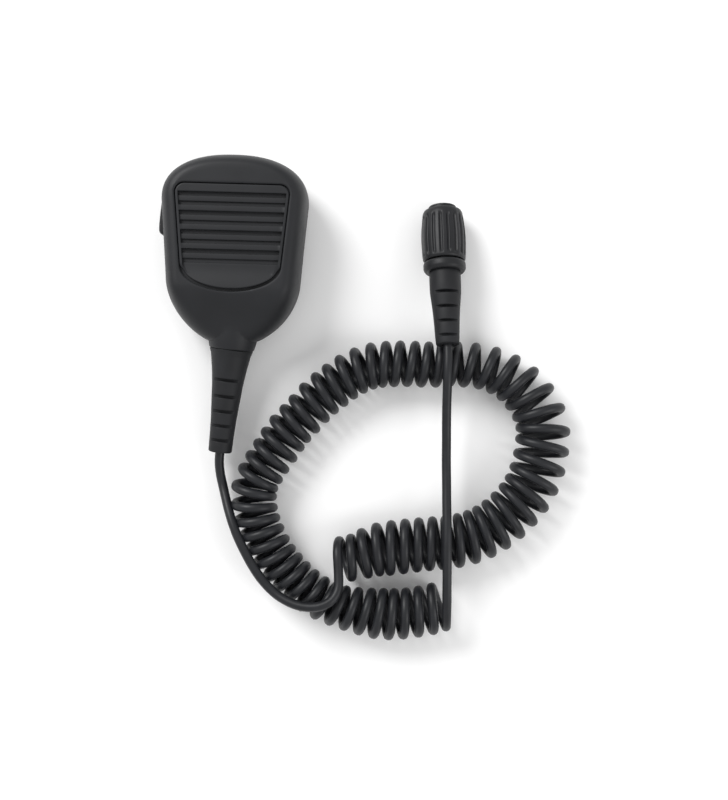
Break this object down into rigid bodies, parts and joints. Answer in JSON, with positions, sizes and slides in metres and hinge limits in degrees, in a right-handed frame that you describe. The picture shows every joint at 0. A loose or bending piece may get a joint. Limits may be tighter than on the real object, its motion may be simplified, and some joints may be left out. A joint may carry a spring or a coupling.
{
  "type": "hand microphone",
  "caption": "Hand microphone lying on its back, with a slotted grille, a hinged side talk paddle, a hang-up stud, a curly cord and a round plug with a turning coupling ring.",
  "frame": {"origin": "centre of the hang-up stud's outer face, on the surface that the microphone lies on", "axes": "+Z out through the grille, +Y towards the top of the microphone and away from its cord, +X to the right as the grille is looked at"},
  "size_m": [0.1761, 0.203, 0.033],
  "materials": {
    "front_plastic": "fine textured moulding",
    "back_plastic": "fine textured moulding",
    "paddle_plastic": "smooth satin moulding",
    "plug_plastic": "satin moulding",
    "ring_plastic": "satin moulding",
    "insert_plastic": "satin moulding",
    "relief_rubber": "soft matt rubber",
    "cord_jacket": "satin polyurethane jacket",
    "black_rubber": "matt",
    "steel": "plated",
    "inner_plastic": "plain",
    "screen_cloth": "fine woven mesh",
    "capsule_can": "satin",
    "board_green": "solder mask",
    "component_black": "plain",
    "connector_ivory": "plain",
    "wire_red": "plain",
    "contact_gold": "plated"
  },
  "bodies": {
    "handset": {"front_shell": "front_plastic", "back_shell": "back_plastic", "case_gasket": "black_rubber", "case_screws": "steel", "dust_screen": "screen_cloth", "capsule_holder": "inner_plastic", "capsule_boot": "black_rubber", "microphone_capsule": "capsule_can", "circuit_board": "board_green", "board_components": "component_black", "board_screws": "steel", "board_header": "connector_ivory", "lead_connector": "connector_ivory", "lead_wires": "wire_red", "cord_clamp": "steel", "clamp_screws": "steel", "ptt_hinge_pin": "steel", "ptt_bracket": "inner_plastic", "ptt_spring": "steel", "ptt_switch": "component_black", "switch_seal": "black_rubber", "hang_up_stud": "steel", "stud_washer": "steel", "stud_screw": "steel", "handset_strain_relief": "relief_rubber", "handset_cord_end": "cord_jacket", "handset_tail": "cord_jacket", "coil_sleeve": "cord_jacket", "plug_tail": "cord_jacket", "plug_strain_relief": "relief_rubber", "plug_cord_end": "cord_jacket", "crimp_ferrule": "steel", "plug_wires": "wire_red", "plug_shell": "plug_plastic", "contact_insert": "insert_plastic", "contact_pins": "contact_gold", "plug_seal_ring": "black_rubber", "retaining_clip": "steel", "detent_washer": "plug_plastic"},
    "talk_paddle": {"ptt_paddle": "paddle_plastic"},
    "switch_plunger": {"switch_plunger": "connector_ivory"},
    "coupling_ring": {"coupling_ring": "ring_plastic"}
  },
  "joints": [
    {"name": "ptt_press", "type": "hinge", "parent": "handset", "child": "talk_paddle", "pos_m": [-0.0265, 0.0102, 0.015], "axis": [0, 0, 1], "range_deg": [0, 4], "stiffness_Nm_per_rad": 0.25, "springref_deg": -8.59, "deforming": ["ptt_spring"]},
    {"name": "plunger_slide", "type": "slide", "parent": "handset", "child": "switch_plunger", "axis": [1, 0, 0], "range_m": [0, 0.0006]},
    {"name": "coupling_ring_turn", "type": "hinge", "parent": "handset", "child": "coupling_ring", "pos_m": [0.0874, 0.008, 0.0077], "axis": [-0.0512, 0.9768, -0.2079], "continuous": true}
  ],
  "couplings": [
    {"joint": "plunger_slide", "follows": "ptt_press", "m_per_rad": 0.0082}
  ]
}
